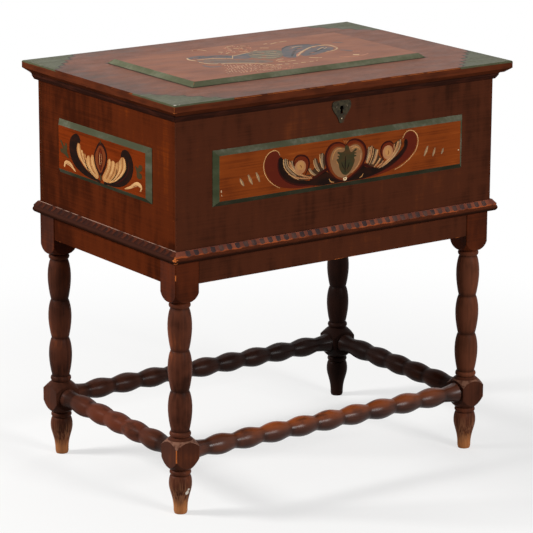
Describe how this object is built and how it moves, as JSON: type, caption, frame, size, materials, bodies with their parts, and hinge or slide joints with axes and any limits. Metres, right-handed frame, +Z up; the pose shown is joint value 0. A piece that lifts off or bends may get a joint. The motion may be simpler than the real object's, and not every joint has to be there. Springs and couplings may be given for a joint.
{
  "type": "sewing box on stand",
  "caption": "Painted wooden sewing box with a hinged lockable lid, raised ornamented panels and a sliding till, on a stand with bobbin-turned legs and stretchers.",
  "frame": {"origin": "on the floor, under the middle of the lid", "axes": "+Z up, front towards -Y, width along X"},
  "size_m": [0.6, 0.4102, 0.6144],
  "materials": {
    "dark_stain": "satin dark red-brown stain, worn to bare wood at the feet",
    "red_brown_paint": "satin red-brown paint with brushed streaks",
    "worn_lid_red": "dull worn red paint",
    "orange_panel_paint": "orange-brown paint with folk ornament and green bevelled edges",
    "bare_pine": "bare aged pine",
    "dark_iron": "dark oiled iron",
    "old_brass": "tarnished brass"
  },
  "bodies": {
    "stand_and_box": {"leg_front_left": "dark_stain", "leg_front_right": "dark_stain", "leg_back_left": "dark_stain", "leg_back_right": "dark_stain", "rail_front": "red_brown_paint", "rail_back": "red_brown_paint", "rail_left": "red_brown_paint", "rail_right": "red_brown_paint", "stretcher_front": "dark_stain", "stretcher_back": "dark_stain", "stretcher_left": "dark_stain", "stretcher_right": "dark_stain", "box_front": "red_brown_paint", "box_back": "red_brown_paint", "box_left": "red_brown_paint", "box_right": "red_brown_paint", "box_bottom": "bare_pine", "front_panel": "orange_panel_paint", "left_panel": "orange_panel_paint", "right_panel": "orange_panel_paint", "base_moulding_front": "red_brown_paint", "base_moulding_back": "red_brown_paint", "base_moulding_left": "red_brown_paint", "base_moulding_right": "red_brown_paint", "runner_front": "bare_pine", "runner_back": "bare_pine", "hinge_box_leaf_left": "dark_iron", "hinge_box_leaf_right": "dark_iron", "hinge_pin_left": "dark_iron", "hinge_pin_right": "dark_iron", "hinge_box_screw_left_1": "old_brass", "hinge_box_screw_left_2": "old_brass", "hinge_box_screw_right_1": "old_brass", "hinge_box_screw_right_2": "old_brass", "key_plate": "dark_iron", "key_plate_nail_left": "old_brass", "key_plate_nail_right": "old_brass", "key_plate_nail_foot": "old_brass", "lock_case": "dark_iron", "lock_screw_left": "old_brass", "lock_screw_right": "old_brass"},
    "lid": {"lid_board": "worn_lid_red", "lid_panel": "orange_panel_paint", "lid_moulding_front": "red_brown_paint", "lid_moulding_left": "red_brown_paint", "lid_moulding_right": "red_brown_paint", "hinge_lid_leaf_left": "dark_iron", "hinge_lid_leaf_right": "dark_iron", "hinge_lid_screw_left_1": "old_brass", "hinge_lid_screw_left_2": "old_brass", "hinge_lid_screw_right_1": "old_brass", "hinge_lid_screw_right_2": "old_brass", "lock_staple": "dark_iron"},
    "lock_bolt": {"lock_bolt": "old_brass"},
    "till": {"till_floor": "bare_pine", "till_left": "bare_pine", "till_right": "bare_pine", "till_front": "bare_pine", "till_partition_1": "bare_pine", "till_back": "bare_pine"}
  },
  "joints": [
    {"name": "lid_hinge", "type": "hinge", "parent": "stand_and_box", "child": "lid", "pos_m": [0, 0.1929, 0.5882], "axis": [-1, 0, 0], "range_deg": [0, 130]},
    {"name": "bolt_slide", "type": "slide", "parent": "stand_and_box", "child": "lock_bolt", "axis": [1, 0, 0], "range_m": [0, 0.01]},
    {"name": "till_slide", "type": "slide", "parent": "stand_and_box", "child": "till", "axis": [1, 0, 0], "range_m": [0, 0.362]}
  ]
}
